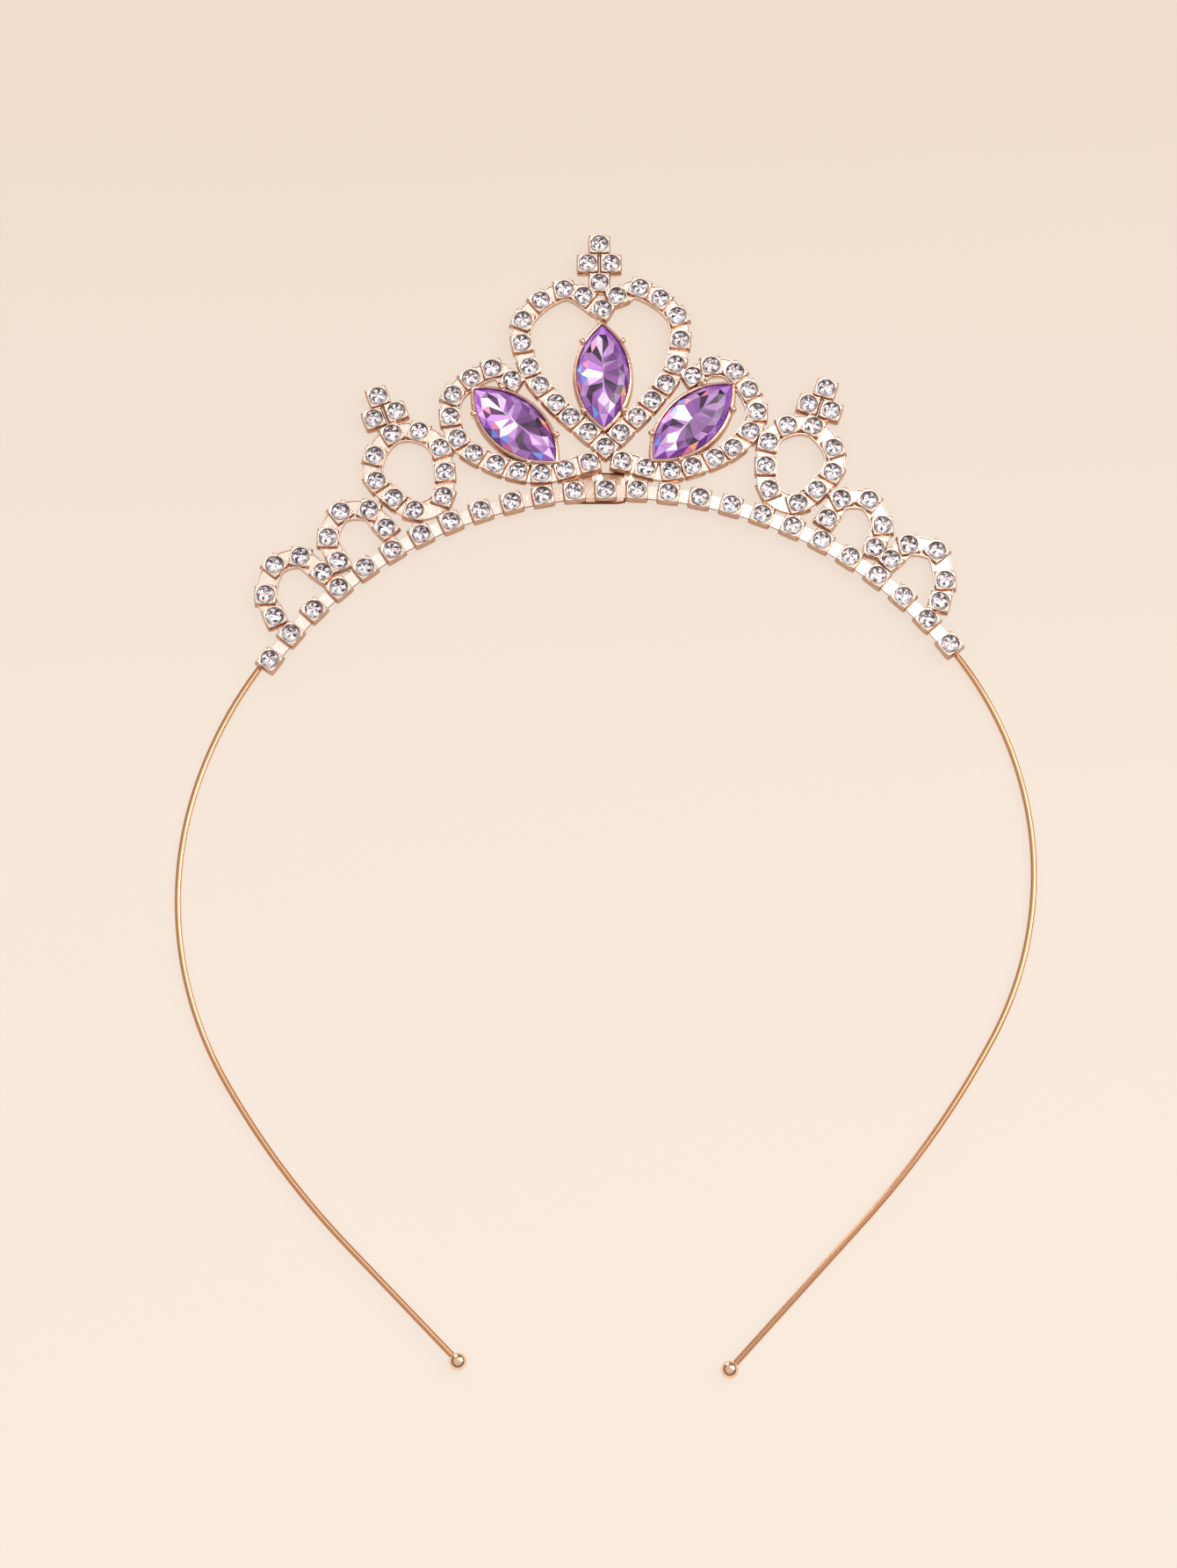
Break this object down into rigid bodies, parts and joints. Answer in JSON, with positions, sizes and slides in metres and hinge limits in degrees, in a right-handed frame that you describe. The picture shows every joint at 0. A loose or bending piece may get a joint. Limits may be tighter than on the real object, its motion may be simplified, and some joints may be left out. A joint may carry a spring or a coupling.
{
  "type": "mini crown headband",
  "caption": "Open round wire headband with ball ends and a small flat openwork crown of square-cup stones and pointed violet stones on its top.",
  "frame": {"origin": "on the surface that the part lies on, under the middle of its overall box", "axes": "+X to the wearer's left as seen from the stones' side, +Y up from the open ends of the hoop to the crown's middle cross, +Z out of the crown's face, away from the surface it lies on"},
  "size_m": [0.1116, 0.1566, 0.0034],
  "materials": {
    "wire": "polished rose gold plating",
    "ball": "polished rose gold plating",
    "crown": "bright rose gold plating on cast and soldered metal",
    "clear_stone": "clear cut glass with a foiled back",
    "violet_stone": "light violet cut glass with a foiled back"
  },
  "bodies": {
    "root": {"headband_wire": "wire", "left_ball": "ball", "right_ball": "ball", "crown_frame": "crown", "base_stones": "clear_stone", "heart_stones": "clear_stone", "centre_cross_stones": "clear_stone", "left_leaf_stones": "clear_stone", "right_leaf_stones": "clear_stone", "left_oval_stones": "clear_stone", "right_oval_stones": "clear_stone", "left_cross_stones": "clear_stone", "right_cross_stones": "clear_stone", "left_arch_stones": "clear_stone", "right_arch_stones": "clear_stone", "left_end_stones": "clear_stone", "right_end_stones": "clear_stone", "centre_navette": "violet_stone", "left_navette": "violet_stone", "right_navette": "violet_stone"}
  },
  "joints": []
}
